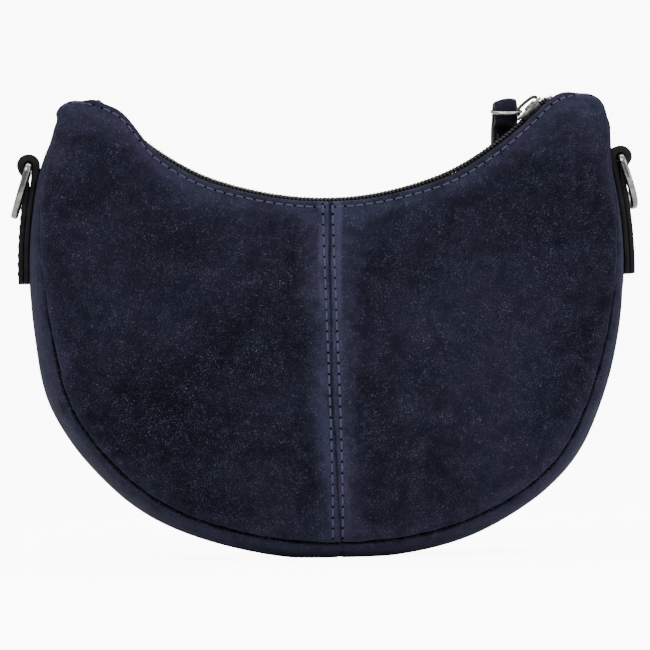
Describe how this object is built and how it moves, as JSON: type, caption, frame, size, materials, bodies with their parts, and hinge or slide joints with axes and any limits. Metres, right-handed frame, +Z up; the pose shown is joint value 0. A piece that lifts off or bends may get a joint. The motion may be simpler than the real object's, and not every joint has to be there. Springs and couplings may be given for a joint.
{
  "type": "crossbody bag",
  "caption": "Small half-moon crossbody bag in dark navy suede, with a zip along its hollow top edge, a ring-hung pull tab and a D-ring on a folded strap loop at each side.",
  "frame": {"origin": "on the surface that the bag stands on, below the middle of its body", "axes": "+X to the right as the front is seen (the zip closes this way), +Y from the front to the back, +Z up"},
  "size_m": [0.245, 0.0666, 0.1806],
  "materials": {
    "navy_suede": "fine napped suede",
    "strap_leather": "smooth, with painted edges",
    "lining_cloth": "plain weave",
    "zip_tape": "herringbone tape",
    "zip_coil": "satin nylon",
    "nickel": "bright nickel plate",
    "ring_gunmetal": "polished dark nickel"
  },
  "bodies": {
    "bag": {"front_panel_left": "navy_suede", "front_panel_right": "navy_suede", "back_panel_left": "navy_suede", "back_panel_right": "navy_suede", "gusset_left": "navy_suede", "gusset_right": "navy_suede", "front_lining": "lining_cloth", "back_lining": "lining_cloth", "gusset_lining": "lining_cloth", "front_zip_tape": "zip_tape", "back_zip_tape": "zip_tape", "front_zip_coil": "zip_coil", "back_zip_coil": "zip_coil", "bottom_stop": "nickel", "front_top_stop": "nickel", "back_top_stop": "nickel", "left_strap_loop": "strap_leather", "right_strap_loop": "strap_leather"},
    "slider": {"slider_body": "nickel", "slider_bail": "nickel"},
    "pull_ring": {"pull_ring": "nickel"},
    "pull_tab": {"pull_tab": "navy_suede"},
    "left_d_ring": {"left_d_ring": "ring_gunmetal"},
    "right_d_ring": {"right_d_ring": "ring_gunmetal"}
  },
  "joints": [
    {"name": "slider_travel", "type": "hinge", "parent": "bag", "child": "slider", "pos_m": [0, 0, 0.2556], "axis": [0, 1, 0], "range_deg": [0, 90], "deforming": ["front_zip_coil", "back_zip_coil"]},
    {"name": "pull_ring_swing", "type": "hinge", "parent": "slider", "child": "pull_ring", "pos_m": [0.07743, 0, 0.17224], "axis": [0, 1, 0], "range_deg": [0, 60]},
    {"name": "pull_tab_swing", "type": "hinge", "parent": "pull_ring", "child": "pull_tab", "pos_m": [0.07163, 0.00571, 0.17325], "axis": [1, 0, 0], "range_deg": [0, 90]},
    {"name": "left_ring_swing", "type": "hinge", "parent": "bag", "child": "left_d_ring", "pos_m": [-0.11518, 0, 0.15331], "axis": [0, 1, 0], "range_deg": [0, 165]},
    {"name": "right_ring_swing", "type": "hinge", "parent": "bag", "child": "right_d_ring", "pos_m": [0.11518, 0, 0.15331], "axis": [0, -1, 0], "range_deg": [0, 165]}
  ]
}
